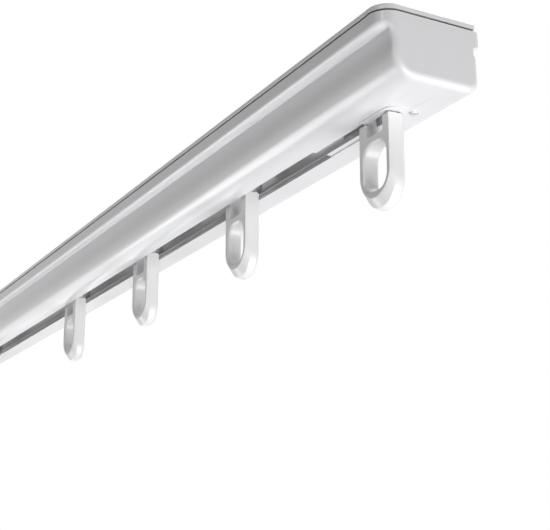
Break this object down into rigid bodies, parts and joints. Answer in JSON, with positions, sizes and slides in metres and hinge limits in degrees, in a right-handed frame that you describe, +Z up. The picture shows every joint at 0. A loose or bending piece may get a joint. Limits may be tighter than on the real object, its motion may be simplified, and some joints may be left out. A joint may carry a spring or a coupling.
{
  "type": "extendable curtain rod",
  "caption": "White telescoping curtain rod with a cornice section, rounded end cap, slot underneath, roller gliders with tall eyes for hooks, and ceiling brackets with spring latches",
  "frame": {"origin": "on the ceiling plane, midway between the outer bracket's two small holes", "axes": "+X along the rod towards the outer rail's end cap, +Y towards the window behind the rod, +Z up"},
  "size_m": [0.873, 0.0569, 0.0518],
  "materials": {
    "white_rail": "smooth white powder coat, satin gloss",
    "white_cap": "moulded white plastic, satin gloss",
    "white_glider": "moulded white plastic with a soft sheen",
    "wheel": "plain nylon",
    "white_bracket": "white powder coat on pressed sheet",
    "white_lever": "white powder coat on pressed sheet",
    "steel": "plain zinc-plated steel",
    "spring_steel": "bare spring steel strip"
  },
  "bodies": {
    "outer_mount": {"outer_bracket": "white_bracket", "outer_latch_pin": "steel", "outer_latch_spring": "spring_steel"},
    "outer_latch": {"outer_latch_lever": "white_lever"},
    "outer_rod": {"outer_rail": "white_rail", "outer_end_cap": "white_cap", "outer_cap_screw": "steel", "stop_rivet": "steel"},
    "inner_rod": {"inner_rail": "white_rail", "inner_end_cap": "white_cap", "inner_cap_screw": "steel"},
    "inner_mount": {"inner_bracket": "white_bracket", "inner_latch_pin": "steel", "inner_latch_spring": "spring_steel"},
    "inner_latch": {"inner_latch_lever": "white_lever"},
    "glider_1": {"glider_1_body": "white_glider", "glider_1_axle": "steel"},
    "glider_1_rollers": {"glider_1_wheels": "wheel"},
    "glider_2": {"glider_2_body": "white_glider", "glider_2_axle": "steel"},
    "glider_2_rollers": {"glider_2_wheels": "wheel"},
    "glider_3": {"glider_3_body": "white_glider", "glider_3_axle": "steel"},
    "glider_3_rollers": {"glider_3_wheels": "wheel"},
    "glider_4": {"glider_4_body": "white_glider", "glider_4_axle": "steel"},
    "glider_4_rollers": {"glider_4_wheels": "wheel"},
    "glider_5": {"glider_5_body": "white_glider", "glider_5_axle": "steel"},
    "glider_5_rollers": {"glider_5_wheels": "wheel"},
    "glider_6": {"glider_6_body": "white_glider", "glider_6_axle": "steel"},
    "glider_6_rollers": {"glider_6_wheels": "wheel"},
    "glider_7": {"glider_7_body": "white_glider", "glider_7_axle": "steel"},
    "glider_7_rollers": {"glider_7_wheels": "wheel"},
    "glider_8": {"glider_8_body": "white_glider", "glider_8_axle": "steel"},
    "glider_8_rollers": {"glider_8_wheels": "wheel"},
    "glider_9": {"glider_9_body": "white_glider", "glider_9_axle": "steel"},
    "glider_9_rollers": {"glider_9_wheels": "wheel"}
  },
  "joints": [
    {"name": "rod_shift", "type": "slide", "parent": "outer_mount", "child": "outer_rod", "axis": [1, 0, 0], "range_m": [-0.5, 0.17]},
    {"name": "extension", "type": "slide", "parent": "outer_rod", "child": "inner_rod", "axis": [-1, 0, 0], "range_m": [0, 0.6]},
    {"name": "inner_bracket_shift", "type": "slide", "parent": "inner_rod", "child": "inner_mount", "axis": [1, 0, 0], "range_m": [-0.03, 0.02]},
    {"name": "outer_latch_hinge", "type": "hinge", "parent": "outer_mount", "child": "outer_latch", "pos_m": [0, -0.0099, -0.0046], "axis": [1, 0, 0], "range_deg": [0, 20], "stiffness_Nm_per_rad": 0.05, "springref_deg": -28.65, "deforming": ["outer_latch_spring"]},
    {"name": "inner_latch_hinge", "type": "hinge", "parent": "inner_mount", "child": "inner_latch", "pos_m": [-0.257, -0.0113, -0.0046], "axis": [1, 0, 0], "range_deg": [0, 20], "stiffness_Nm_per_rad": 0.05, "springref_deg": -28.65, "deforming": ["inner_latch_spring"]},
    {"name": "glider_1_slide", "type": "slide", "parent": "outer_rod", "child": "glider_1", "axis": [1, 0, 0], "range_m": [-0.028, 0]},
    {"name": "glider_1_roll", "type": "hinge", "parent": "glider_1", "child": "glider_1_rollers", "pos_m": [0.542, -0.0266, -0.0179], "axis": [0, 1, 0], "continuous": true},
    {"name": "glider_2_slide", "type": "slide", "parent": "inner_rod", "child": "glider_2", "axis": [1, 0, 0], "range_m": [-0.07, 0]},
    {"name": "glider_2_roll", "type": "hinge", "parent": "glider_2", "child": "glider_2_rollers", "pos_m": [0.454, -0.0266, -0.0179], "axis": [0, 1, 0], "continuous": true},
    {"name": "glider_3_slide", "type": "slide", "parent": "inner_rod", "child": "glider_3", "axis": [1, 0, 0], "range_m": [-0.07, 0]},
    {"name": "glider_3_roll", "type": "hinge", "parent": "glider_3", "child": "glider_3_rollers", "pos_m": [0.366, -0.0266, -0.0179], "axis": [0, 1, 0], "continuous": true},
    {"name": "glider_4_slide", "type": "slide", "parent": "inner_rod", "child": "glider_4", "axis": [1, 0, 0], "range_m": [-0.07, 0]},
    {"name": "glider_4_roll", "type": "hinge", "parent": "glider_4", "child": "glider_4_rollers", "pos_m": [0.278, -0.0266, -0.0179], "axis": [0, 1, 0], "continuous": true},
    {"name": "glider_5_slide", "type": "slide", "parent": "inner_rod", "child": "glider_5", "axis": [1, 0, 0], "range_m": [-0.055, 0]},
    {"name": "glider_5_roll", "type": "hinge", "parent": "glider_5", "child": "glider_5_rollers", "pos_m": [0.126, -0.0266, -0.0179], "axis": [0, 1, 0], "continuous": true},
    {"name": "glider_6_slide", "type": "slide", "parent": "inner_rod", "child": "glider_6", "axis": [1, 0, 0], "range_m": [-0.055, 0]},
    {"name": "glider_6_roll", "type": "hinge", "parent": "glider_6", "child": "glider_6_rollers", "pos_m": [0.052, -0.0266, -0.0179], "axis": [0, 1, 0], "continuous": true},
    {"name": "glider_7_slide", "type": "slide", "parent": "inner_rod", "child": "glider_7", "axis": [1, 0, 0], "range_m": [-0.055, 0]},
    {"name": "glider_7_roll", "type": "hinge", "parent": "glider_7", "child": "glider_7_rollers", "pos_m": [-0.022, -0.0266, -0.0179], "axis": [0, 1, 0], "continuous": true},
    {"name": "glider_8_slide", "type": "slide", "parent": "inner_rod", "child": "glider_8", "axis": [1, 0, 0], "range_m": [-0.055, 0]},
    {"name": "glider_8_roll", "type": "hinge", "parent": "glider_8", "child": "glider_8_rollers", "pos_m": [-0.096, -0.0266, -0.0179], "axis": [0, 1, 0], "continuous": true},
    {"name": "glider_9_slide", "type": "slide", "parent": "inner_rod", "child": "glider_9", "axis": [1, 0, 0], "range_m": [-0.055, 0]},
    {"name": "glider_9_roll", "type": "hinge", "parent": "glider_9", "child": "glider_9_rollers", "pos_m": [-0.17, -0.0266, -0.0179], "axis": [0, 1, 0], "continuous": true}
  ]
}
